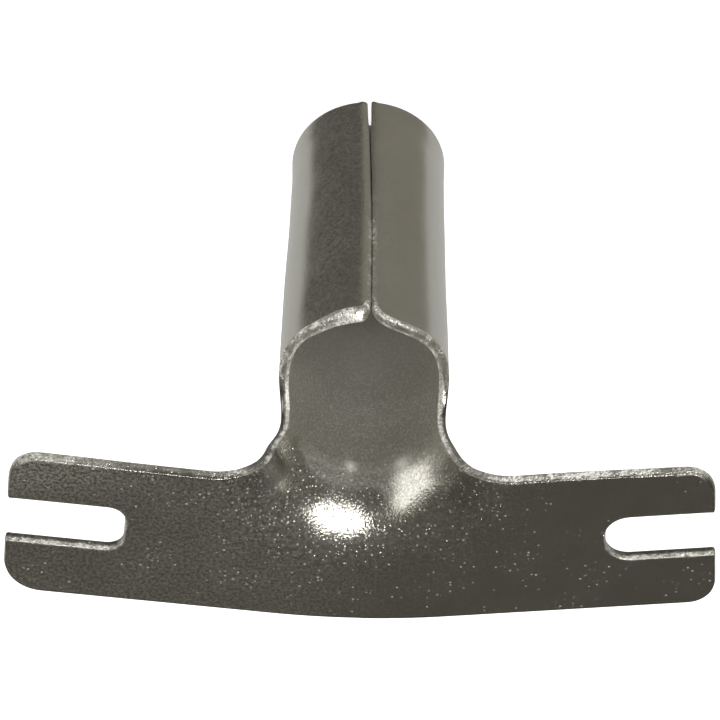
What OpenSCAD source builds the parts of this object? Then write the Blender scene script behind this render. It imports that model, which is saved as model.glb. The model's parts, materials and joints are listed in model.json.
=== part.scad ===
// Radiator bleed key: one sheet-steel pressing, rolled into a socket tube at one
// end and bent out into a flat two-winged handle at the other, with a square
// drive bush inside the socket end.
// The origin is the centre of the socket's open end. +Z runs along the tube to
// the handle, the open seam faces -Y, and the handle lies along X behind it.

/* [Socket tube] */
// Outside diameter of the rolled tube
tube_d = 9.4; // [8:0.1:14]
// Thickness of the steel sheet
sheet_t = 0.7; // [0.5:0.05:1.2]
// Height of the tube's mouth above its socket end
mouth_z = 20.4; // [12:0.1:40]
// Gap between the two sheet edges along the seam
seam_gap = 0.2; // [0.1:0.05:0.6]
// Fillet where the mouth's rim turns down into the neck's cut edge
mouth_fillet_r = 2.5; // [1:0.1:4]

/* [Square drive] */
// Width across the flats of the square hole
square_w = 5.1; // [4:0.1:5.5]
// Length of the bush along the tube
bush_len = 8; // [4:0.5:12]
// Depth of the bush's end face inside the socket end
bush_recess = 1.3; // [0:0.1:4]

/* [Handle] */
// Overall height, from the socket end to the handle's outer face
key_h = 28; // [22:0.5:45]
// Radius under the bend that turns the neck out into the handle
bend_r = 3.8; // [2:0.1:5]
// Distance of the neck's cut edges behind the tube's axis
cut_y = 1.35; // [0:0.05:2]
// Distance of the front edges' meeting point behind the tube's axis
wing_front_y = 2.25; // [1.5:0.05:4]
// Length of one wing from the centre line to its end
wing_len = 19.2; // [14:0.1:30]
// Depth of a wing across the sheet
wing_depth = 9.9; // [7:0.1:14]
// Angle by which each wing is swept forward
wing_sweep = 6.5; // [0:0.5:12]
// Radius of the wing tips' corners
corner_r = 1.9; // [0.5:0.1:3]
// Radius that blends the two rear edges in the middle
rear_blend_r = 45; // [10:1:80]

/* [End slots] */
// Width of the slot in each wing's end
slot_w = 3.1; // [2:0.1:4]
// Depth of the slot along the wing
slot_len = 6.4; // [3:0.1:9]
// Distance from a wing's front edge to its slot
slot_front = 2.85; // [2:0.05:5]
// Radius of the slot's two inner corners
slot_corner_r = 0.9; // [0.2:0.1:1.5]

/* [Hidden] */
$fn = 96;
tube_r = tube_d / 2;
bore_r = tube_r - sheet_t;
bend_z = key_h - sheet_t - bend_r;
collar_r = tube_r + bend_r;
// Plan point where one wing's rear edge would meet the centre line
rear_y = wing_front_y + wing_depth / cos(wing_sweep);
spill = 1;
steel = [0.47, 0.46, 0.43];
bush_steel = [0.38, 0.37, 0.35];

// Points on an arc, in steps that suit a small corner
function arc(centre, r, from, to, steps = 10) =
    [for (i = [0 : steps]) centre + r * [cos(from + (to - from) * i / steps), sin(from + (to - from) * i / steps)]];

// A plan point of the +X wing, from its distance along and across the wing
function on_wing(along, across) =
    [along * cos(wing_sweep) + across * sin(wing_sweep),
     wing_front_y - along * sin(wing_sweep) + across * cos(wing_sweep)];

// One half of the handle's plan, x >= 0: tip corners and half of the rear blend are arcs
module half_plan() {
    tip = wing_len - corner_r;
    front_x = (wing_front_y - cut_y) / tan(wing_sweep);
    blend_y = rear_y - rear_blend_r / cos(wing_sweep);
    polygon(concat(
        [[0, cut_y], [front_x, cut_y]],
        arc(on_wing(tip, corner_r), corner_r, -90 - wing_sweep, -wing_sweep),
        arc(on_wing(tip, wing_depth - corner_r), corner_r, -wing_sweep, 90 - wing_sweep),
        arc([0, blend_y], rear_blend_r, 90 - wing_sweep, 90)
    ));
}

// The slot of the +X wing, open at the wing's end and rounded at its inner corners
module slot_plan() {
    inner = wing_len - slot_len + slot_corner_r;
    low = slot_front + slot_corner_r;
    high = slot_front + slot_w - slot_corner_r;
    polygon(concat(
        [on_wing(wing_len + spill, slot_front)],
        [on_wing(wing_len + spill, slot_front + slot_w)],
        arc(on_wing(inner, high), slot_corner_r, 90 - wing_sweep, 180 - wing_sweep),
        arc(on_wing(inner, low), slot_corner_r, 180 - wing_sweep, 270 - wing_sweep)
    ));
}

// The whole handle's plan, both wings and the middle
module handle_plan() {
    half_plan();
    mirror([1, 0]) half_plan();
}

// Everything that is cut away in front of the neck, seen along X, for heights above the mouth
module neck_cut() {
    rotate([90, 0, 90])
        linear_extrude(height = tube_d + 2 * spill, center = true)
            union() {
                translate([-tube_r - spill, mouth_z])
                    square([tube_r + spill + cut_y - mouth_fillet_r, key_h]);
                translate([-tube_r, mouth_z + mouth_fillet_r])
                    square([tube_r + cut_y, key_h]);
                translate([cut_y - mouth_fillet_r, mouth_z + mouth_fillet_r])
                    circle(r = mouth_fillet_r);
            }
}

// Rolled tube with its open seam, and the trough that runs on from its back half to the bend
module socket_tube() {
    color(steel)
        difference() {
            cylinder(r = tube_r, h = bend_z);
            translate([0, 0, -spill])
                cylinder(r = bore_r, h = bend_z + 2 * spill);
            translate([-seam_gap / 2, -tube_r - spill, -spill])
                cube([seam_gap, tube_r + spill, bend_z + 2 * spill]);
            neck_cut();
        }
}

// Middle of the handle: the half collar that bends outwards, and the flat sheet behind it
module handle_centre() {
    color(steel)
        intersection() {
            union() {
                rotate_extrude()
                    intersection() {
                        translate([collar_r, bend_z])
                            difference() {
                                circle(r = bend_r + sheet_t);
                                circle(r = bend_r);
                            }
                        translate([bore_r, bend_z])
                            square([collar_r - bore_r, key_h]);
                    }
                translate([0, 0, key_h - sheet_t])
                    linear_extrude(height = sheet_t)
                        difference() {
                            handle_plan();
                            circle(r = collar_r);
                        }
            }
            translate([-collar_r, cut_y, bend_z])
                cube([2 * collar_r, rear_y, key_h]);
        }
}

// The +X wing with its slot, cut from the sheet at the collar's edge
module wing() {
    color(steel)
        translate([0, 0, key_h - sheet_t])
            linear_extrude(height = sheet_t)
                difference() {
                    half_plan();
                    translate([-spill, -spill])
                        square([collar_r + spill, rear_y + 2 * spill]);
                    slot_plan();
                }
}

module right_wing() {
    wing();
}

module left_wing() {
    mirror([1, 0, 0]) wing();
}

// Round bush with the square hole that turns the valve's spindle
module drive_bush() {
    color(bush_steel)
        translate([0, 0, bush_recess])
            difference() {
                cylinder(r = bore_r, h = bush_len);
                translate([-square_w / 2, -square_w / 2, -spill])
                    cube([square_w, square_w, bush_len + 2 * spill]);
            }
}

socket_tube();
handle_centre();
left_wing();
right_wing();
drive_bush();
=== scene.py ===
# %% [markdown]
# # A radiator bleed key, finished in Blender
#
# The key is one strip of sheet steel. A press has rolled its stem into a tube, left the
# tube's front open near the handle, and bent the back half outwards into two flat wings.
# A small bush with a square hole sits inside the tube's free end and turns the valve.
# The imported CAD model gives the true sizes; this script gives the steel its real surface.

# %% The frame
import json
import math

import bpy
import numpy as np
from mathutils import Matrix, Vector
from mathutils.geometry import delaunay_2d_cdt


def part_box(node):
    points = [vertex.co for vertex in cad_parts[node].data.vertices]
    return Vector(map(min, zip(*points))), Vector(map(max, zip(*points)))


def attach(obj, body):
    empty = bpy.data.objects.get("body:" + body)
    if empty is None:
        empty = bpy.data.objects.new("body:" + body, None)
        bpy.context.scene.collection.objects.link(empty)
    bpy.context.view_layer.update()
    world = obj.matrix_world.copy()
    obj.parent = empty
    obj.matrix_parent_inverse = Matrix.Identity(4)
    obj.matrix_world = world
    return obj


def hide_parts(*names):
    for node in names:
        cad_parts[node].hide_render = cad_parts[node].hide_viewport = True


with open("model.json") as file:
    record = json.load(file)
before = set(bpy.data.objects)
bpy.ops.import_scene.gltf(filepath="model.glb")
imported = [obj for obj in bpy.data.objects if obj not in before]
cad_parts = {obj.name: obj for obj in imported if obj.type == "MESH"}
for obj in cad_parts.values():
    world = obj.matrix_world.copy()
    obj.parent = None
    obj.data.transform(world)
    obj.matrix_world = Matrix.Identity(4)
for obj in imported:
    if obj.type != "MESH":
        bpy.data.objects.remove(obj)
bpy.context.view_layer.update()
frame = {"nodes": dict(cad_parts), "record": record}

MM = 0.001
print("CAD nodes:", sorted(frame["nodes"]))

# %% [markdown]
# ## Driving sizes
#
# Nearly every size of the pressing can be read off the CAD nodes' boxes, so the finished
# steel follows the CAD model if that changes. The sweep of the wings comes from a slot's
# mount axis. Only the cut-outs of the flat blank are named again here, in millimetres.

# %% Sizes from the CAD nodes
tube_low, tube_high = (np.array(corner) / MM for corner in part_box("socket_tube"))
middle_low, middle_high = (np.array(corner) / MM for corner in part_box("handle_centre"))
wing_low, wing_high = (np.array(corner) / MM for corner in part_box("right_wing"))
bush_low, bush_high = (np.array(corner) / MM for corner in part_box("drive_bush"))
mounts = {mount["name"]: mount for mount in frame["record"]["mounts"]}
slot_axis = mounts["right_slot"]["axis"]

tube_r = -tube_low[1]
bend_z = tube_high[2]
key_h = middle_high[2]
collar_r = middle_high[0]
cut_y = middle_low[1]
sheet_t = wing_high[2] - wing_low[2]
bore_r = tube_r - sheet_t
mid_r = tube_r - sheet_t / 2
bend_outer = collar_r - bore_r
bend_mid = bend_outer - sheet_t / 2
plate_q = bend_z + bend_outer * math.pi / 2
sweep = math.atan2(-slot_axis[1], slot_axis[0])
print(f"tube radius {tube_r:.2f}, sheet {sheet_t:.2f}, wing sweep {math.degrees(sweep):.2f} degrees")

# %% Sizes of the flat blank's outline
mouth_z = 20.4
mouth_fillet = 2.5
rim_dip = 0.25
wing_front_y = 1.97
wing_depth = 10.08
rear_blend_r = 45.0
slot_w = 3.1
square_w = 5.1
# The two sides were trimmed by hand-set tools and differ a little. "front swell" is where
# along the wing its front edge stands forward. "rim swell" is where the mouth's rim rises:
# its place and width in degrees round from the seam, and its height.
right_side = {"sign": 1, "sweep": sweep, "length": 19.32, "front corner": 1.6, "rear corner": 2.2,
              "slot front": 3.07, "slot length": 6.53, "slot corner": 0.95, "front swell": 18,
              "rim corner": 0.48, "rim swell": (40, 12, 0.33), "rim rise": 0.22, "rim slant": 0.58}
left_side = {"sign": -1, "sweep": sweep - math.radians(0.3), "length": 19.16, "front corner": 1.6,
             "rear corner": 1.6, "slot front": 3.13, "slot length": 6.08, "slot corner": 1.35,
             "front swell": 10.5, "rim corner": 0.20, "rim swell": (22, 24, 1.0), "rim rise": 0.0,
             "rim slant": 0.10}
print("wings reach", right_side["length"], "and", left_side["length"], "mm from the middle")

# %% [markdown]
# ## The camera
#
# The key stands on its socket rim with the handle on top. It is viewed from in front and
# above, about 50 degrees over the horizon, with the camera rolled right over so that the
# socket end is at the top of the picture. A long lens keeps the perspective gentle.

# %% Camera
camera_place = Vector((1.21, -91.75, 127.53)) * MM
camera_aim = Vector((0.30, -0.47, 19.59)) * MM
picture_up = Vector((0.0067, 0.0, -1.0))

lens_axis = (camera_place - camera_aim).normalized()
across = picture_up.cross(lens_axis).normalized()
upwards = lens_axis.cross(across)
camera_turn = Matrix((across, upwards, lens_axis)).transposed().to_4x4()
camera_data = bpy.data.cameras.new("camera")
camera_data.sensor_width = 36
camera_data.lens = 125
camera_data.clip_start = 0.005
camera_data.clip_end = 10
camera = bpy.data.objects.new("camera", camera_data)
camera.matrix_world = Matrix.Translation(camera_place) @ camera_turn
bpy.context.scene.collection.objects.link(camera)
bpy.context.scene.camera = camera
print("camera distance, mm:", round((camera_place - camera_aim).length / MM, 1))

# %% [markdown]
# ## The pressed sheet as one formula
#
# A press bends flat steel without stretching it much, so each spot of the sheet is known
# by two numbers: the angle theta round the tube, from the back towards +X, and the
# distance q along the sheet from the socket end. A third number h goes through the sheet,
# from the bore's face (0) to the outer face (its thickness). One formula then gives the
# straight tube, the round bend and the flat plate, with no joins between them.
#
# Real press work is never quite true. The small errors are written as bumps and soft
# steps of theta and q, so each one can be named, sized and moved by itself.

# %% Bumps and soft steps
def bell(x, middle, width):
    """A smooth bump: e to the power of minus half the squared distance in widths."""
    return np.exp(-0.5 * ((x - middle) / width) ** 2)


def ease(x, start, end):
    """Rises smoothly from 0 at start to 1 at end: 3 t squared minus 2 t cubed."""
    t = np.clip((x - start) / (end - start), 0, 1)
    return t * t * (3 - 2 * t)


# %% The seam
seam_lean = math.radians(-3.5)
gap_wide = 0.20
gap_narrow = 0.025


def seam_middle(q):
    """Angle of the gap's middle from the front: it leans from near zero to seam_lean."""
    return seam_lean * (0.17 + 0.83 * ease(q, -4, 13))


def seam_half_gap(q):
    """Half of the gap's angle: wide at the socket end, closing to the narrow gap."""
    return 0.5 * (gap_narrow + (gap_wide - gap_narrow) * (1 - ease(q, 1, 4))) / mid_r


def seam_edge(sign, q):
    """Angle from the front to the seam's edge on the side with that sign of x."""
    return sign * seam_middle(q) + seam_half_gap(q)


print("seam gap, mm:", [round(2 * seam_half_gap(q) * mid_r, 3) for q in (0, mouth_z)])

# %% How far the press work is out of true, in mm
tube_widening = 0.10
tube_lean = 0.09
end_flare = 0.06
bend_step = 0.34
step_top = 25.4
flank_spread = 0.29
flank_thinning = 0.16
lip_width = 0.55
lip_depth = 0.14
wave_height = 0.012


def proud(theta, q):
    """How far the sheet stands out from the perfect shape, along its thickness.

    The tube widens and leans a little, the bend starts with a soft step, the neck's flanks
    spread, one edge of the seam curls in, and slow waves stand for the hand of the press.
    """
    side = np.sin(theta)
    widening = tube_widening * ease(q, 5, 19) * (1 + 0.5 * side) * (1 - ease(q, bend_z, 27))
    lean = -tube_lean * side * (1 - ease(q, 0, 14))
    flare = end_flare * (1 - ease(q, 0, 2.5))
    step = bend_step * (ease(q, 22.9, step_top) - ease(q, step_top, plate_q)) * (1 + 0.3 * side)
    on_flank = ease(np.abs(theta), math.radians(40), math.radians(70))
    spread = (flank_spread + 0.04 * side) * bell(q, 24.5, 1.5) * on_flank
    from_seam = (np.pi - np.abs(theta + seam_middle(q))) * mid_r
    curled = 1 - ease(from_seam, 0, lip_width * (1 + 0.3 * ease(q, 8, 20)))
    curl = -lip_depth * (theta > 0) * curled ** 2 * (q < plate_q)
    waves = wave_height * np.sin(3 * theta + 0.5 * q) * np.sin(0.31 * q + 1.0)
    return widening + lean + flare + step + spread + curl + waves * (1 - ease(q, bend_z, plate_q))


def thinned(theta, q):
    """Thickness lost from the bore's side where the neck's flanks were stretched."""
    return flank_thinning * bell(q, 22.5, 2.2) * ease(np.abs(theta), math.radians(35), math.radians(68))


# %% From theta, q and h to space
def pressed(theta, q, h):
    """Place of a spot of the sheet in space, in mm.

    With a = (q - bend_z) / bend_outer held between 0 and a quarter turn, and the spot
    bend_outer - h from the bend's centre: the distance from the tube's axis is
    collar_r - (bend_outer - h) cos a, plus what q runs past the bend, and the height is
    q, held at bend_z, plus (bend_outer - h) sin a.
    """
    theta, q, h = np.broadcast_arrays(theta, q, h)
    turn = np.clip((q - bend_z) / bend_outer, 0, np.pi / 2)
    reach = bend_outer - h - proud(theta, q) - thinned(theta, q) * (1 - h / sheet_t)
    r = collar_r - reach * np.cos(turn) + np.maximum(q - plate_q, 0)
    z = np.minimum(q, bend_z) + reach * np.sin(turn)
    return np.stack((r * np.sin(theta), r * np.cos(theta), z), axis=-1)


def q_at_radius(r):
    """The distance q at which the middle of the sheet is r from the tube's axis."""
    turn = np.arccos(np.clip((collar_r - r) / bend_mid, 0, 1))
    return bend_z + bend_outer * turn + np.maximum(r - collar_r, 0)


def sheet_radius(q):
    """The other way round: the middle of the sheet's distance from the axis at q."""
    turn = np.clip((q - bend_z) / bend_outer, 0, np.pi / 2)
    return collar_r - bend_mid * np.cos(turn) + np.maximum(q - plate_q, 0)


print("sheet runs", round(plate_q, 2), "mm from the socket end to the flat plate")

# %% [markdown]
# ## The blank's outline
#
# The blank was punched before it was rolled. Its edge is followed once round: along the
# socket end, up the seam, round the mouth's rim, down the neck and round the wing with
# its slot. The handle's part is drawn in plan, as straight lines and arcs, and its points
# are then turned into theta and q.

# %% The handle's plan
def arc(centre, radius, start, end, steps=16):
    """Points round a centre, from one angle to another, in degrees."""
    a = np.radians(np.linspace(start, end, steps))
    return np.array(centre) + radius * np.stack((np.cos(a), np.sin(a)), axis=-1)


def on_wing(side, along, deep):
    """Plan point of a wing, drawn as the +X one, from its distances along and across the wing."""
    return (along * math.cos(side["sweep"]) + deep * math.sin(side["sweep"]),
            wing_front_y - along * math.sin(side["sweep"]) + deep * math.cos(side["sweep"]))


def depth_on_wing(side, x, y):
    """How far behind a wing's front edge a plan point lies, with x counted away from the middle."""
    return x * math.sin(side["sweep"]) + (y - wing_front_y) * math.cos(side["sweep"])


def wing_plan(side):
    """Plan of one wing's edge, as the +X one: from the neck round the tip and slot to the rear middle."""
    lean = math.degrees(side["sweep"])
    end, front, rear = side["length"], side["front corner"], side["rear corner"]
    near, corner = side["slot front"], side["slot corner"]
    far = near + slot_w
    closed = end - side["slot length"] + corner
    rear_y = wing_front_y + wing_depth / math.cos(sweep)
    return np.concatenate((
        [(math.sqrt(mid_r**2 - cut_y**2), cut_y)],
        [((wing_front_y - cut_y) / math.tan(side["sweep"]), cut_y)],
        arc(on_wing(side, end - front, front), front, -90 - lean, -lean),
        [on_wing(side, end, near)],
        arc(on_wing(side, closed, near + corner), corner, 270 - lean, 180 - lean),
        arc(on_wing(side, closed, far - corner), corner, 180 - lean, 90 - lean),
        [on_wing(side, end, far)],
        arc(on_wing(side, end - rear, wing_depth - rear), rear, -lean, 90 - lean),
        arc((0, rear_y - rear_blend_r / math.cos(side["sweep"])), rear_blend_r, 90 - lean, 90, 40),
    ))


def even_steps(points, lengths, step):
    """The same path with points every step of length, found along its running length."""
    run = np.concatenate(([0], np.cumsum(lengths)))
    at = np.linspace(0, run[-1], int(run[-1] / step) + 1)
    return np.stack([np.interp(at, run, column) for column in points.T], axis=-1)


# %% The mouth's rim
def rim_height(side, from_edge):
    """Height of the rim, by degrees from the seam's edge: a slope up from the seam with one swell."""
    place, width, height = side["rim swell"]
    slope = np.tanh(from_edge / 6) * (side["rim rise"] + height * bell(from_edge, place, width))
    return mouth_z - rim_dip + slope + (rim_dip - side["rim rise"]) * ease(from_edge, 30, 76)


def rim_slant(side, from_edge):
    """How much further the rim's bore side reaches than its outer side, in mm."""
    return side["rim slant"] * bell(from_edge, 10, 20) * ease(from_edge, -3, 6)


def slanted(theta, q, h):
    """Moves q towards the socket end, by the rim's slant on the outer face and by none on the bore's."""
    from_edge = 180 - np.degrees(np.abs(theta) + seam_edge(np.where(theta > 0, 1, -1), 20))
    slant = np.where(theta > 0, rim_slant(right_side, from_edge), rim_slant(left_side, from_edge))
    return q - slant * ease(q, 17, 19.4) * h / sheet_t


# %% The whole outline in theta and q
front_swell_height = 0.12


def half_outline(side):
    """(theta, q) along one half of the edge, from the socket end's back to the rear middle."""
    sign, corner = side["sign"], side["rim corner"]
    start = math.degrees(seam_edge(sign, 20))
    flank = math.degrees(math.acos((mouth_fillet - cut_y) / mid_r))
    corner_angle = math.degrees(corner / mid_r)
    rim_angle = np.concatenate((corner_angle * (1 - np.cos(np.linspace(0, np.pi / 2, 12)))[:-1],
                                np.linspace(corner_angle, flank - start, 80)))
    drop = corner * (1 - np.sqrt(1 - (1 - np.clip(rim_angle / corner_angle, 0, 1)) ** 2))
    rim_q = rim_height(side, rim_angle) + rim_slant(side, rim_angle) - drop
    seam_q = np.linspace(0, rim_q[0], 200)
    turn = np.linspace(-np.pi / 2, 0, 30)
    fillet_y = cut_y - mouth_fillet + mouth_fillet * np.cos(turn)
    fillet_q = rim_q[-1] + (mouth_z + mouth_fillet - rim_q[-1]) * (1 + np.sin(turn))
    plan = wing_plan(side)
    plan = even_steps(plan, np.linalg.norm(np.diff(plan, axis=0), axis=1), 0.05)
    on_front = 1 - ease(depth_on_wing(side, *plan.T), 0.3, 1.8)
    plan[:, 1] -= front_swell_height * bell(plan[:, 0], side["front swell"], 3.5) * on_front
    theta = np.concatenate((
        np.linspace(0, np.pi - seam_edge(sign, 0), 200)[:-1],
        np.pi - seam_edge(sign, seam_q),
        np.pi - np.radians(start + rim_angle[1:]),
        np.arccos(fillet_y[1:] / mid_r),
        np.arctan2(plan[1:, 0], plan[1:, 1])))
    q = np.concatenate((
        np.zeros(199), seam_q, rim_q[1:], fillet_q[1:], q_at_radius(np.hypot(*plan[1:].T))))
    return np.stack((sign * theta, q), axis=-1)


def metric_lengths(points):
    """Real lengths of a path's steps on the sheet: r d-theta across and d-q along."""
    steps = np.diff(points, axis=0)
    r = sheet_radius((points[1:, 1] + points[:-1, 1]) / 2)
    return np.hypot(r * steps[:, 0], steps[:, 1])


# %% Even points round the outline, with soft corners
outline_step = 0.1
corner_softness = 0.11
right_half = half_outline(right_side)
left_half = half_outline(left_side)
outline = np.concatenate((right_half, left_half[::-1][1:]))
outline = even_steps(outline, metric_lengths(outline), outline_step)[:-1]
count = len(outline)


def softened(loop, width):
    """Each value of a closed loop becomes the bell-weighted mean of its neighbours."""
    steps = np.arange(-10, 11)
    weights = bell(steps * outline_step, 0, width)
    return sum(w * np.roll(loop, k, axis=0) for w, k in zip(weights / weights.sum(), steps))


outline = softened(outline, corner_softness)
print("outline points:", count)

# %% [markdown]
# ## Edge and faces of the sheet
#
# A punch cuts sheet steel in three bands. It rounds the rim where it enters, burnishes the
# first part of the cut and tears the rest, which leaves a rough pale stripe. The edge is
# therefore a short profile, carried along the outline: it starts a little way in on the
# bore's face, turns round the torn rim, crosses the cut and turns round the rolled rim.
# How torn and how bare the steel is there goes along as two numbers, for the finish.
# The wings' outline was cut from one side, and the slots and the stem from the other, so
# their torn bands lie at different depths. Along both sides of the mouth's rim run pale
# lines that are partly wear and partly painted highlights for the glints of its rounded
# rims, and so, more faintly, along the seam's upper half and the wings' front edges near
# their tips.
#
# The mouth's rim is cut on a slant. The edge follows that slant, and so do the points of
# the outer face near it, or the face would fold over at the rim.
#
# The two faces are fields of points in theta and q, joined up by a Delaunay fill inside
# the ring that the profile leaves. A plain grid can't follow the slots and the mouth,
# which is why the fill is used. Both faces share it.

# %% Along the outline: where it is, and which way is inward
inward_softness = 0.25
radius = sheet_radius(outline[:, 1])
tangent = np.roll(outline, -1, axis=0) - np.roll(outline, 1, axis=0)
tangent[:, 0] *= radius
tangent /= np.linalg.norm(tangent, axis=1, keepdims=True)
inward = softened(np.stack((-tangent[:, 1] / radius, tangent[:, 0]), axis=-1), inward_softness)
edge_theta, edge_q = outline.T
edge_x = radius * np.sin(edge_theta)
edge_y = radius * np.cos(edge_theta)

# %% Stretches of the outline that were cut, worn or given painted glint lines in their own way
from_front = 180 - np.degrees(np.abs(edge_theta))
on_handle = ease(edge_q, 26, 29)
facing_front = ease(-edge_y, -1.0, 0.5)
on_seam = (1 - ease(from_front, 4, 8)) * (1 - ease(edge_q, 19.3, 20.0))
on_rim = facing_front * ease(edge_q, 19.4, 20.2) * (1 - ease(edge_q, 23, 25))
on_tip = facing_front * on_handle
on_neck = ease(edge_y, -0.3, 0.7) * ease(edge_q, 19.5, 20.3) * (1 - ease(edge_q, 25.5, 28))
smooth_run = bell(edge_x, 11.5, 2.6) * (edge_y < 3)
coarse_run = ease(-edge_x, 2, 4) * (1 - ease(-edge_x, 11, 18)) * (edge_y < 3)
behind = np.where(edge_x > 0,
                  depth_on_wing(right_side, edge_x, edge_y) - right_side["slot front"],
                  depth_on_wing(left_side, -edge_x, edge_y) - left_side["slot front"])
on_slot = ease(behind, -0.35, -0.05) * (1 - ease(behind, slot_w + 0.05, slot_w + 0.35))
blanked = on_handle * (1 - on_slot)
print("outline points on the wings' own edge:", int((blanked > 0.5).sum()))

# %% Profile of the cut edge
# Each row of the torn rim: how far in from the outline, and how far through the sheet
torn_rows = np.array([(0.24, 0.00), (0.13, 0.00), (0.10, 0.01), (0.085, 0.04),
                      (0.05, 0.14), (0.01, 0.24), (0.00, 0.30), (0.00, 0.40)])
roll_angle = np.radians([0, 22, 45, 68, 90])[:, None]
rolled = 0.20 - 0.15 * on_seam
last_row_in = 0.30
ones = np.ones(count)
profile_in = np.concatenate((
    torn_rows[:, :1] * ones, rolled * (1 - np.cos(roll_angle)), [last_row_in * ones]))
profile_h = np.concatenate((
    torn_rows[:, 1:] * ones, sheet_t - rolled * (1 - np.sin(roll_angle)), [sheet_t * ones]))
print("rows in the edge's profile:", len(profile_in))


def cut_band(pierced_rows, blanked_rows):
    """One number for each row and outline point: a slot's or the stem's rows, or the wings' own."""
    pierced_rows, blanked_rows = np.array(pierced_rows)[:, None], np.array(blanked_rows)[:, None]
    return pierced_rows + (blanked_rows - pierced_rows) * blanked


# %% How torn and how bare each row is, with the painted glint lines
torn = cut_band([0, 0.3, 0.8, 1, 1, 1, 0.5, 0.1, 0, 0, 0, 0, 0, 0],
                [0, 0.2, 0.3, 0.3, 0.4, 0.9, 1, 1, 0.9, 0.5, 0.2, 0.1, 0, 0])
bare = cut_band([0, 0, 0, 0, 0, 0.3, 0.9, 1, 1, 1, 0.8, 0.3, 0, 0],
                [0, 0.6, 1, 1, 0.9, 0.1, 0, 0, 0.2, 0.5, 0.6, 0.4, 0, 0])
neck_bare = np.array([0, 0, 0, 0, 0, 0.5, 1, 1, 1, 1, 1, 1, 0.8, 0])[:, None]
waves = 0.75 + 0.25 * np.sin(1.9 * edge_x + 0.8 * edge_q) * np.sin(0.7 * edge_x - 1.3 * edge_y + 1)
torn = torn * waves * (0.85 - 0.7 * smooth_run + 0.6 * coarse_run) * (1 - 0.7 * on_seam)
through = profile_h / sheet_t
# Two pale lines near the cut's two rims are painted highlights for the glints of those rounded rims; on the
# mouth's rim, the seam and the tips they join the torn band along with the wear.
glint_lines = 0.28 + 0.62 * bell(through, 0.1, 0.16) + 0.55 * bell(through, 0.88, 0.16)
glint_lines[[0, -1]] = 0
wear_and_glint = np.maximum(on_rim, np.maximum(0.45 * on_seam * ease(edge_q, 8, 14), 0.7 * on_tip))
torn = np.maximum(torn, wear_and_glint * glint_lines)
bare = bare * (1 - on_rim) * (1 - on_tip)
bare = np.maximum(bare, neck_bare * on_neck) * (1 - on_seam)
print("share of the edge that is more torn than not:", round(float((torn > 0.5).mean()), 2))

# %% Rings along the outline
rings = outline[None] + profile_in[:, :, None] * inward
rings[..., 1] = slanted(rings[..., 0], rings[..., 1], profile_h)
ring_points = pressed(rings[..., 0], rings[..., 1], profile_h)
print("edge rings:", ring_points.shape)


# %% Points inside the outline
def inside(points, loop):
    """True where a point lies inside a closed loop: an odd number of edges cross its left side."""
    crossings = np.zeros(len(points), int)
    a, b = loop, np.roll(loop, -1, axis=0)
    for part in np.array_split(np.arange(len(loop)), 40):
        low, high = a[part][None], b[part][None]
        y = points[:, None, 1]
        spans = (low[..., 1] > y) != (high[..., 1] > y)
        rise = np.where(spans, high[..., 1] - low[..., 1], 1)
        x_cross = low[..., 0] + (y - low[..., 1]) * (high[..., 0] - low[..., 0]) / rise
        crossings += np.sum(spans & (points[:, None, 0] < x_cross), axis=1)
    return crossings % 2 == 1


def clear_of(points, loop, gap):
    """True where a point of the sheet is more than gap from every point of the loop."""
    near = np.full(len(points), np.inf)
    r = sheet_radius(points[:, 1])[:, None]
    for part in np.array_split(np.arange(len(loop)), 40):
        apart = points[:, None] - loop[part][None]
        near = np.minimum(near, np.hypot(r * apart[..., 0], apart[..., 1]).min(axis=1))
    return near > gap


def field():
    """Even points all over the sheet: steps of theta and q on the tube and bend, of x and y on the plate."""
    theta, q = np.meshgrid(np.radians(np.arange(-182.5, 185, 2.5)), np.arange(0.2, bend_z, 0.35))
    bend_theta, bend_q = np.meshgrid(np.radians(np.arange(-90, 91, 2.5)), np.arange(bend_z, plate_q, 0.25))
    x, y = np.meshgrid(np.arange(-20.25, 20.5, 0.5), np.arange(-0.25, 12.5, 0.5))
    flat = np.hypot(x, y) > collar_r + 0.2
    flat_theta, flat_q = np.arctan2(x, y)[flat], q_at_radius(np.hypot(x, y)[flat])
    return np.stack((
        np.concatenate((theta.ravel(), bend_theta.ravel(), flat_theta)),
        np.concatenate((q.ravel(), bend_q.ravel(), flat_q))), axis=-1)


ring_clearance = 0.16
ring = rings[0]
spots = field()
spots = spots[inside(spots, ring)]
spots = spots[clear_of(spots, ring, ring_clearance)]
print("inner points:", len(spots))

# %% The fill
unrolled = np.array((mid_r, 1.0))
cloud = np.concatenate((ring, spots)) * unrolled
loop_edges = [(i, (i + 1) % count) for i in range(count)]
filled = delaunay_2d_cdt([Vector(p) for p in cloud.tolist()], loop_edges, [], 0, 1e-7, False)
fill = np.array(filled[2])
fill = fill[inside(cloud[fill].mean(axis=1), ring * unrolled)]
print("fill triangles:", len(fill), "points kept:", len(filled[0]), "of", len(cloud))

# %% [markdown]
# ## The pressing
#
# The real key's tube, neck and wings are one piece of sheet, so they are one mesh here too.
# The two faces and the edge share their rings' points, which makes the mesh one closed
# skin. It is shaded smooth all over: the edge's rows lie close together, so its rims stay
# crisp without any split normals.


# %% Mesh helpers
def new_piece(name, points, faces):
    """A mesh object from points in mm and faces of equal length, smooth all over."""
    mesh = bpy.data.meshes.new(name)
    mesh.from_pydata((points * MM).tolist(), [], [face.tolist() for face in faces])
    mesh.update()
    mesh.shade_smooth()
    piece = bpy.data.objects.new(name, mesh)
    bpy.context.scene.collection.objects.link(piece)
    return piece


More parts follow.
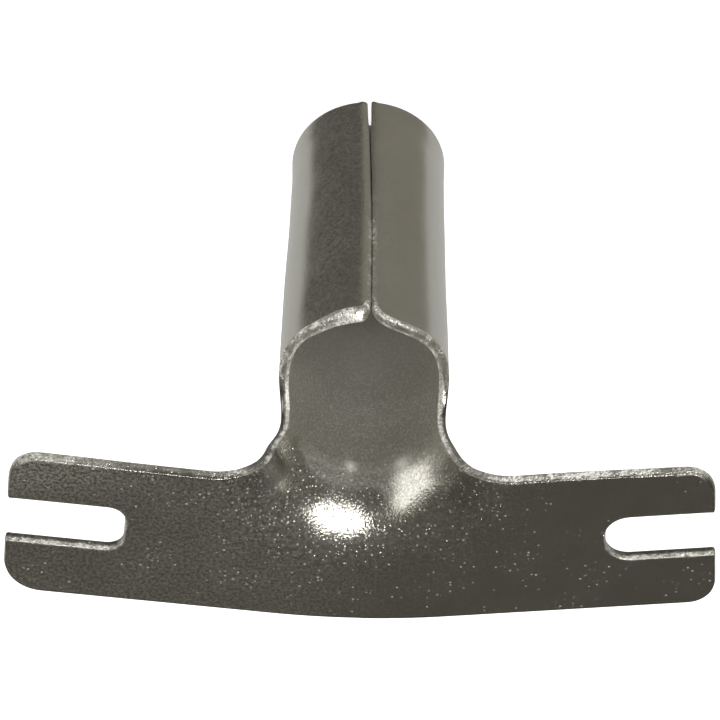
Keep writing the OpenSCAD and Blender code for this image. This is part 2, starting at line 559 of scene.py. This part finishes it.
def band(rows, turns, closed):
    """Triangles between the neighbouring rows of a grid of points whose rows are closed loops."""
    row, along = np.meshgrid(np.arange(rows if closed else rows - 1), np.arange(turns), indexing="ij")
    next_row, ahead = (row + 1) % rows, (along + 1) % turns
    quads = np.stack((row * turns + along, next_row * turns + along,
                      next_row * turns + ahead, row * turns + ahead), axis=-1).reshape(-1, 4)
    return np.concatenate((quads[:, [0, 1, 2]], quads[:, [0, 2, 3]]))


def enclosed(points, triangles):
    """Volume inside a closed skin of triangles: a sixth of the sum of a . (b x c)."""
    a, b, c = (points[triangles[:, k]] for k in range(3))
    return np.einsum("ij,ij->i", a, np.cross(b, c)).sum() / 6


# %% Pressing
rows = len(profile_in)
inner = len(spots)
spots_outside = slanted(spots[:, 0], spots[:, 1], sheet_t)
bore_face = pressed(spots[:, 0], spots[:, 1], 0.0)
outer_face = pressed(spots[:, 0], spots_outside, sheet_t)
points = np.concatenate((ring_points.reshape(-1, 3), bore_face, outer_face))
around = np.arange(count)
across_face = rows * count + np.arange(inner)
bore_index = np.concatenate((around, across_face))
outer_index = np.concatenate(((rows - 1) * count + around, across_face + inner))
edge_triangles = band(rows, count, closed=False)
triangles = np.concatenate((bore_index[fill], outer_index[fill][:, ::-1], edge_triangles))
pressing = new_piece("pressing", points, triangles)
print("pressing:", len(triangles), "triangles, volume", round(enclosed(points, triangles), 1), "mm3")

# %% Theta and q of every point, and a UV map of the unrolled sheet
map_width = 50
sheet_theta = np.concatenate((rings[..., 0].ravel(), spots[:, 0], spots[:, 0]))
sheet_q = np.concatenate((rings[..., 1].ravel(), spots[:, 1], spots_outside))
strip_map = pressing.data.uv_layers.new(name="sheet")
corner_points = np.zeros(len(pressing.data.loops), np.int32)
pressing.data.loops.foreach_get("vertex_index", corner_points)
uv = np.stack((sheet_theta * mid_r, sheet_q), axis=-1)[corner_points] / map_width + 0.5
strip_map.data.foreach_set("uv", uv.astype(np.float32).ravel())
print("UV map:", strip_map.name, "with", len(corner_points), "corners")

# %% [markdown]
# ## The drive bush
#
# A short steel bush is pressed into the tube's free end. Its square hole, with a small
# lead-in at each end, grips the valve's spindle. It could be a cylinder cut by a box, but
# a cut leaves hard corners. So it is one surface of two parameters: the angle round the
# axis, and a profile that runs up the outside, over the end, down the hole and back.
# A rounded square is used for the hole, as a broach leaves it.


# %% Bush
def square_radius(angle, half, corner):
    """Distance from the centre to a rounded square's side: the power mean of order 1 / corner."""
    power = 1 / corner
    return half / (np.abs(np.cos(angle)) ** power + np.abs(np.sin(angle)) ** power) ** (1 / power)


bush_turns = 192
bush_clearance = 0.01
hole_corner = 0.06
lead_in = 0.45
rim_round = 0.25
bottom, top = bush_low[2], bush_high[2]
angle = np.linspace(0, 2 * np.pi, bush_turns, endpoint=False)
hole = square_radius(angle, square_w / 2, hole_corner)
bush_outer = np.full(bush_turns, bush_high[0] - bush_clearance)
# Each row: distance from the axis at every angle, and height
bush_profile = [
    (bush_outer - rim_round, bottom), (bush_outer - rim_round * 0.3, bottom + rim_round * 0.3),
    (bush_outer, bottom + rim_round), (bush_outer, top - rim_round),
    (bush_outer - rim_round * 0.3, top - rim_round * 0.3), (bush_outer - rim_round, top),
    (hole + lead_in, top), (hole + lead_in * 0.4, top - lead_in * 0.35),
    (hole, top - lead_in), (hole, bottom + lead_in),
    (hole + lead_in * 0.4, bottom + lead_in * 0.35), (hole + lead_in, bottom)]
bush_points = np.concatenate([
    np.stack((r * np.sin(angle), r * np.cos(angle), np.full(bush_turns, z)), axis=-1)
    for r, z in bush_profile])
bush_triangles = band(len(bush_profile), bush_turns, closed=True)
bush = new_piece("square_drive_bush", bush_points, bush_triangles)
print("bush:", len(bush_triangles), "triangles, volume",
      round(enclosed(bush_points, bush_triangles), 1), "mm3")

# %% [markdown]
# ## Finishes
#
# The steel has a thin grey zinc plating, which is smooth on the flat wings. Where the
# press stretched the sheet, round the bend, the coating has opened into fine grains, and
# the glints of single crystals are painted on as matt white specks. The bend's two flanks
# were stretched most, and are coarser and darker. Inside the tube the coating lay against
# the rolling tool: it is drawn smooth, with a pale grain, and deep down it is a dull pale
# grey, with two small painted highlights and one wide faint painted pool of light. The torn
# bands of the edges are rough and pale, the burnished bands are bare and dark, and the
# wings are lightly scuffed, with a painted sheen that grows near the bend and towards the
# +X wing's tip.
#
# Each of these is a soft-edged region in theta and q. The regions are painted on the
# mesh as point attributes, since a formula places them better than a mask drawn by hand,
# and one node material reads them all. Its grains and specks are noise and Voronoi cells
# in object space, in millimetres, so they hold their size and never stretch.


# %% Node helpers
def node_maker(tree):
    """Returns add(kind, settings, inputs): a socket joins, and a plain value is set."""
    def add(kind, settings=None, **inputs):
        node = tree.nodes.new(kind)
        for name, value in (settings or {}).items():
            setattr(node, name, value)
        for name, value in inputs.items():
            number = name[1:]
            socket = node.inputs[int(number) if number.isdigit() else name.replace("_", " ")]
            if isinstance(value, bpy.types.NodeSocket):
                tree.links.new(value, socket)
            else:
                socket.default_value = value
        return node
    return add


def blank_material(name):
    """A material, its shader and its node maker."""
    material = bpy.data.materials.new(name)
    material.use_nodes = True
    return material, material.node_tree.nodes["Principled BSDF"], node_maker(material.node_tree)


def combine(add, operation, first, *others, clamp=False):
    """One value after another is worked into the first by the same arithmetic step."""
    for place, other in enumerate(others):
        settings = {"operation": operation, "use_clamp": clamp and place == len(others) - 1}
        first = add("ShaderNodeMath", settings, i0=first, i1=other).outputs[0]
    return first


def times(add, *values, clamp=False):
    """The product of some values."""
    return combine(add, "MULTIPLY", *values, clamp=clamp)


def plus(add, *values, clamp=False):
    """The sum of some values."""
    return combine(add, "ADD", *values, clamp=clamp)


def between(add, value, low, high, out_low=0.0, out_high=1.0):
    """A smooth ramp of a value from out_low to out_high."""
    return add("ShaderNodeMapRange", {"interpolation_type": "SMOOTHSTEP"}, Value=value, From_Min=low,
               From_Max=high, To_Min=out_low, To_Max=out_high).outputs[0]


def tint(add, amount, first, second):
    """A colour between two colours, of which the first may come from another node."""
    first = (*first, 1) if isinstance(first, tuple) else first
    return add("ShaderNodeMix", {"data_type": "RGBA"}, i0=amount, i6=first, i7=(*second, 1)).outputs[2]


def place_in_mm(add):
    """The place on the object in millimetres, so that a texture's scale is per millimetre."""
    place = add("ShaderNodeTexCoord").outputs["Object"]
    return add("ShaderNodeVectorMath", {"operation": "SCALE"}, i0=place, Scale=1 / MM).outputs[0]


def noise(add, place, scale, detail, roughness=0.5):
    """Soft noise between 0 and 1."""
    return add("ShaderNodeTexNoise", Vector=place, Scale=scale, Detail=detail, Roughness=roughness).outputs[0]


def crystals(add, place, scale):
    """Voronoi cells: the distance from each cell's middle, and two random numbers of its own."""
    cells = add("ShaderNodeTexVoronoi", {"feature": "F1"}, Vector=place, Scale=scale)
    luck = add("ShaderNodeSeparateColor", i0=cells.outputs["Color"]).outputs
    return cells.outputs["Distance"], luck[0], luck[1]


def painted(add, name):
    """One of the numbers painted on the pressing."""
    return add("ShaderNodeAttribute", {"attribute_name": name}).outputs["Fac"]


# %% Regions of the finish, painted on the pressing
def paint(name, amount):
    """Stores one number for each point of the pressing, for the finish to read."""
    layer = pressing.data.attributes.new(name, "FLOAT", "POINT")
    layer.data.foreach_set("value", amount.astype(np.float32))


def spot(turned, q, size):
    """A soft round spot on the bore's face, by its angle round the tube and its distance along it."""
    aside = (sheet_theta - math.radians(turned)) * mid_r
    return on_bore * np.exp(-0.5 * (aside ** 2 + (sheet_q - q) ** 2) / size ** 2)


turned = np.degrees(sheet_theta)
sheet_x = np.sin(sheet_theta) * sheet_radius(sheet_q)
sheet_y = np.cos(sheet_theta) * sheet_radius(sheet_q)
on_bore = np.concatenate(((1 - profile_h / sheet_t).ravel() ** 2, np.ones(inner), np.zeros(inner)))
on_flank = ease(turned, 50, 62) + 0.6 * ease(-turned, 50, 62)
plated_from = 25.0 + 1.45 * ease(-turned, 8, 20) - 0.8 * ease(-turned, 26, 60) - 1.6 * ease(turned, 35, 60)
drawn = on_bore * (1 - ease(sheet_q, plated_from - 0.4, plated_from + 0.4))
front_strip = 1 - ease(sheet_y, 1.0, 3.5)
no_faces = np.zeros(2 * inner)
regions = {
    "torn": np.concatenate((torn.ravel(), no_faces)),
    "bare": np.concatenate((bare.ravel(), no_faces)),
    "stretched": ease(sheet_q, plated_from - 0.5, plated_from + 0.5),
    "drawn": drawn,
    "bore": drawn * (1 - 0.88 * ease(sheet_q, 9, 22)),
    "dull": drawn * (1 - 0.85 * ease(sheet_q, 20, 24.5)),
    "grained": on_flank * ease(sheet_q, 22.8, 24.2) * (1 - ease(sheet_q, 28.5, 31)),
    "flank": on_flank * ease(sheet_q, 24.7, 25.7) * (1 - ease(sheet_q, 27.5, 29.5)),
    "near_bend": bell(sheet_q, 27, 2.4),
    # Two small painted highlights near the bend, and one wide faint painted pool of light deep in the bore
    "rubbed": 0.60 * spot(10, 23.5, 0.24) + 0.45 * spot(-31, 23.8, 0.34) + 0.09 * spot(3, 12.8, 2.3),
    # Light scuffs, and a painted sheen: the haze grows near the bend and towards the +X wing's tip, which
    # lightens that side
    "scuffed": (0.18 + 0.3 * bell(sheet_q, 28, 3) + 0.65 * ease(sheet_x, -4, 9)
                + ease(sheet_x, 9, 17) * front_strip),
}
for name, amount in regions.items():
    paint(name, amount)
print("regions painted:", {name: round(float(amount.mean()), 3) for name, amount in regions.items()})

# %% Colours of the steel
zinc_dark, zinc_light = (0.50, 0.485, 0.42), (0.60, 0.59, 0.53)
bare_dark = (0.20, 0.19, 0.17)
drawn_pale = (0.85, 0.84, 0.79)
bore_grey = (0.74, 0.73, 0.685)
bore_grain = (0.98, 0.97, 0.92)
torn_and_glint_pale = (0.82, 0.81, 0.77)
# White of the painted glints, the painted highlights and the painted pool of light
painted_glint_white = (0.95, 0.94, 0.90)


# %% Plated steel
def plated_steel():
    """Thin zinc over pressed steel: fine crystals that glint, and duller in the bore and on torn edges."""
    material, shader, add = blank_material("plated_steel")
    in_mm = place_in_mm(add)
    layers = {name: painted(add, name) for name in regions}
    torn, drawn, bore, stretched = (layers[name] for name in ("torn", "drawn", "bore", "stretched"))
    grained, flank, rubbed = (layers[name] for name in ("grained", "flank", "rubbed"))
    patches = noise(add, in_mm, 0.35, 3.0, 0.55)
    grain = noise(add, in_mm, 7.5, 2.0, 0.6)
    fine = noise(add, in_mm, 7.0, 2.0, 0.7)
    mottle = noise(add, in_mm, 5.5, 1.0, 0.6)

    # Relief: grain, and steep little nodules that catch the lamp
    from_middle, chance, _ = crystals(add, in_mm, 6.0)
    nodules = times(add, between(add, from_middle, 0.0, 0.42, 1.0, 0.0), between(add, chance, 0.70, 0.95))
    opened = times(add, stretched, between(add, patches, 0.30, 0.70, 0.55, 1.25))
    amount = plus(add, opened, times(add, torn, 3.2), times(add, drawn, 0.08), times(add, grained, 1.6), 0.10)
    relief_mm = plus(add, times(add, grain, 0.024), times(add, nodules, 0.036))
    relief = add("ShaderNodeBump", Strength=1.0, Distance=MM, Height=times(add, relief_mm, amount))

    # Painted glints: matt white specks that stand for single crystals glinting in the lamp, more of them near
    # the bend and on its flanks
    from_middle, chance, strength = crystals(add, in_mm, 4.0)
    crowd = plus(add, patches, times(add, plus(add, layers["near_bend"], grained), 0.42))
    picked = combine(add, "GREATER_THAN", chance, between(add, crowd, 0.42, 0.85, 0.965, 0.30))
    painted_glints = times(add, picked, between(add, from_middle, 0.0, 0.44, 1.0, 0.0),
                  between(add, strength, 0.2, 1.0, 0.08, 0.66),
                  combine(add, "MAXIMUM", stretched, times(add, drawn, 0.65)))

    # Colour: zinc, then bare steel, the tube's inside, torn flakes with their painted glint lines, and
    # painted glint specks over it. Two small painted highlights and one wide faint painted pool of light are
    # laid on the inside in white.
    flakes_and_glints = between(add, noise(add, in_mm, 1.3, 2.0), 0.42, 0.58, 0.3, 1.2)
    flakes_and_glints = times(add, torn, flakes_and_glints, between(add, fine, 0.40, 0.62, 0.15, 1.75))
    dark = combine(add, "MAXIMUM", times(add, layers["bare"], 0.85), times(add, flank, 0.95))
    colour = tint(add, patches, zinc_dark, zinc_light)
    colour = tint(add, dark, colour, bare_dark)
    colour = tint(add, times(add, drawn, between(add, fine, 0.42, 0.68, 0.0, 0.50)), colour, drawn_pale)
    colour = tint(add, bore, colour, bore_grey)
    colour = tint(add, times(add, drawn, between(add, fine, 0.46, 0.72, 0.0, 0.60)), colour, bore_grain)
    colour = tint(add, times(add, flakes_and_glints, 0.6, clamp=True), colour, torn_and_glint_pale)
    colour = tint(add, plus(add, painted_glints, rubbed, clamp=True), colour, painted_glint_white)

    # Veil: how far the metal's mirror is hidden, by scuffs with a painted sheen, by the bore's dull coat, by
    # torn flakes with painted glint lines, and by the painted glints, highlights and pool of light
    scuff_and_sheen_haze = times(add, layers["scuffed"], between(add, mottle, 0.30, 0.70, 0.01, 0.17))
    coat = times(add, bore, between(add, mottle, 0.30, 0.70, 0.80, 1.04))
    veil = plus(add, coat, scuff_and_sheen_haze, 0.012, times(add, flakes_and_glints, 0.6), times(add, plus(add, painted_glints, rubbed), 0.85))
    rough = plus(add, between(add, patches, 0.3, 0.7, 0.15, 0.21), times(add, torn, 0.28),
                 times(add, layers["dull"], 0.26), times(add, flank, 0.25))

    links = material.node_tree.links
    links.new(colour, shader.inputs["Base Color"])
    links.new(combine(add, "SUBTRACT", 1.0, veil, clamp=True), shader.inputs["Metallic"])
    links.new(rough, shader.inputs["Roughness"])
    links.new(relief.outputs[0], shader.inputs["Normal"])
    return material


def bush_steel():
    """Turned and broached plain steel: darker and duller than the plating, and faintly mottled."""
    material, shader, add = blank_material("bush_steel")
    marks = noise(add, place_in_mm(add), 6.0, 3.0)
    shader.inputs["Metallic"].default_value = 1
    links = material.node_tree.links
    links.new(tint(add, marks, (0.33, 0.32, 0.30), (0.45, 0.44, 0.41)), shader.inputs["Base Color"])
    links.new(between(add, marks, 0.3, 0.7, 0.3, 0.45), shader.inputs["Roughness"])
    return material


pressing.data.materials.append(plated_steel())
bush.data.materials.append(bush_steel())
print("materials:", pressing.data.materials[0].name, "and", bush.data.materials[0].name)

# %% [markdown]
# ## Studio
#
# The key is shown on a plain pale floor in soft light. Polished plating looks like what it
# reflects, so most of the work is done by the surroundings: a dim warm room, with a large
# white card beyond the key that brightens the tube's flanks, and one leaning window to the
# +X side that shows as a leaf of light in the bend. A soft oval lamp in front and above
# gives the hot spot on the handle's middle. All three work by reflection alone, and an
# even glow lights whatever is matt.

# %% Floor
half_floor = 1.5
floor_mesh = bpy.data.meshes.new("floor")
floor_mesh.from_pydata([(-half_floor, -half_floor, 0), (half_floor, -half_floor, 0),
                        (half_floor, half_floor, 0), (-half_floor, half_floor, 0)], [], [(0, 1, 2, 3)])
floor = bpy.data.objects.new("floor", floor_mesh)
bpy.context.scene.collection.objects.link(floor)
floor.visible_glossy = False
floor_paint, floor_shader, _ = blank_material("pale_floor")
floor_shader.inputs["Base Color"].default_value = (0.9, 0.9, 0.9, 1)
floor_shader.inputs["Roughness"].default_value = 1.0
floor_shader.inputs["Specular IOR Level"].default_value = 0.0
floor_shader.inputs["Emission Color"].default_value = (1, 1, 1, 1)
floor_shader.inputs["Emission Strength"].default_value = 0.8
floor.data.materials.append(floor_paint)
print("floor:", 2 * half_floor, "m wide")

# %% Room: where the card and the window are, and how bright each thing glows
white_card = Vector((0, 0.649, -0.761))
card_edge = (0.60, 0.70)
card_glow = 0.56
window_azimuth = math.radians(53)
window = Vector((math.sin(window_azimuth), -math.cos(window_azimuth), 0.07)).normalized()
window_side = Vector((-0.197, -0.694, -0.692))
window_up = window_side.cross(window).normalized()
window_half = (0.52, 0.44)
window_shift = 0.08
window_glow = 1.6
low_glow = (0.27, 0.11)
high_glow = (0.11, 0.10)
even_glow = 0.9
backdrop_glow = 0.95


def along_way(add, way, direction):
    """How far a way of looking runs along a direction: their dot product."""
    return add("ShaderNodeVectorMath", {"operation": "DOT_PRODUCT"}, i0=way, i1=direction).outputs["Value"]


def dim_room(add, way):
    """The room's own glow: below, brighter on the -X side, and above, almost even."""
    x, y, z = list(add("ShaderNodeSeparateXYZ", i0=way).outputs)
    above = between(add, z, -0.55, -0.15)
    low = times(add, between(add, x, -0.25, 0.15, *low_glow), combine(add, "SUBTRACT", 1.0, above))
    return plus(add, low, times(add, above, between(add, y, -0.5, 0.5, *high_glow)))


def window_pane(add, way):
    """The leaning window: 1 in the middle of a soft oval, cut off along its inner side."""
    along = along_way(add, way, window_up / window_half[0])
    across = along_way(add, way, window_side / window_half[1])
    off_middle = combine(add, "SUBTRACT", across, window_shift / window_half[1])
    squared = plus(add, times(add, along, along), times(add, off_middle, off_middle))
    in_front = combine(add, "GREATER_THAN", along_way(add, way, window), 0.0)
    return times(add, between(add, squared, 0.25, 1.0, 1.0, 0.0), between(add, across, 0.0, 0.15), in_front)


def studio_world():
    """The dim room, the window and the large white card for reflections, and plain glows for the rest."""
    world = bpy.data.worlds.new("studio")
    world.use_nodes = True
    tree = world.node_tree
    add = node_maker(tree)
    way = add("ShaderNodeTexCoord").outputs["Generated"]
    pane = window_pane(add, way)
    card = between(add, along_way(add, way, white_card), *card_edge)
    dim = plus(add, dim_room(add, way), times(add, pane, window_glow))
    glow = tint(add, combine(add, "MAXIMUM", card, pane), (1.0, 0.96, 0.86), (1.0, 1.0, 0.98))
    amount = add("ShaderNodeMix", i0=card, i2=dim, i3=card_glow).outputs[0]
    reflected = tree.nodes["Background"]
    tree.links.new(glow, reflected.inputs[0])
    tree.links.new(amount, reflected.inputs[1])
    backdrop = add("ShaderNodeBackground", i0=(1, 1, 1, 1), i1=backdrop_glow)
    even = add("ShaderNodeBackground", i0=(1, 0.98, 0.94, 1), i1=even_glow)
    rays = add("ShaderNodeLightPath").outputs
    lit = add("ShaderNodeMixShader", i0=rays["Is Diffuse Ray"], i1=reflected.outputs[0], i2=even.outputs[0])
    seen = add("ShaderNodeMixShader", i0=rays["Is Camera Ray"], i1=lit.outputs[0], i2=backdrop.outputs[0])
    tree.links.new(seen.outputs[0], tree.nodes["World Output"].inputs[0])
    bpy.context.scene.world = world


studio_world()
bpy.context.scene.view_settings.view_transform = "Standard"
print("world:", bpy.context.scene.world.name)


# %% Lamp
def lamp(name, azimuth, elevation, distance, width, height, roll, radiance):
    """A soft oval lamp, aimed at the handle from an azimuth (0 in front, + towards +X) and elevation."""
    a, e = math.radians(azimuth), math.radians(elevation)
    way = Vector((math.sin(a) * math.cos(e), -math.cos(a) * math.cos(e), math.sin(e)))
    data = bpy.data.lights.new(name, "AREA")
    data.shape = "ELLIPSE"
    data.size = width
    data.size_y = height
    data.energy = radiance * math.pi * (math.pi / 4 * width * height)
    light = bpy.data.objects.new(name, data)
    target = Vector((0, 0, key_h * MM))
    aimed = way.to_track_quat("Z", "Y").to_matrix().to_4x4() @ Matrix.Rotation(math.radians(roll), 4, "Z")
    light.matrix_world = Matrix.Translation(target + way * distance) @ aimed
    bpy.context.scene.collection.objects.link(light)
    return light


key_lamp = lamp("key_lamp", azimuth=-24, elevation=31, distance=0.6, width=0.40, height=0.24,
                roll=15, radiance=14.0)
key_lamp.visible_diffuse = False
print("lamp power:", round(key_lamp.data.energy, 2), "W")

# %% [markdown]
# ## Handing over
#
# The pressing takes the place of the four CAD nodes that the one sheet was divided into,
# and the bush takes the place of its own node. Nothing moves, so both stay with the root.

# %% Riding
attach(pressing, "root")
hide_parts("socket_tube", "handle_centre", "left_wing", "right_wing")
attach(bush, "root")
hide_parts("drive_bush")
print("pieces:", pressing.name, "and", bush.name)
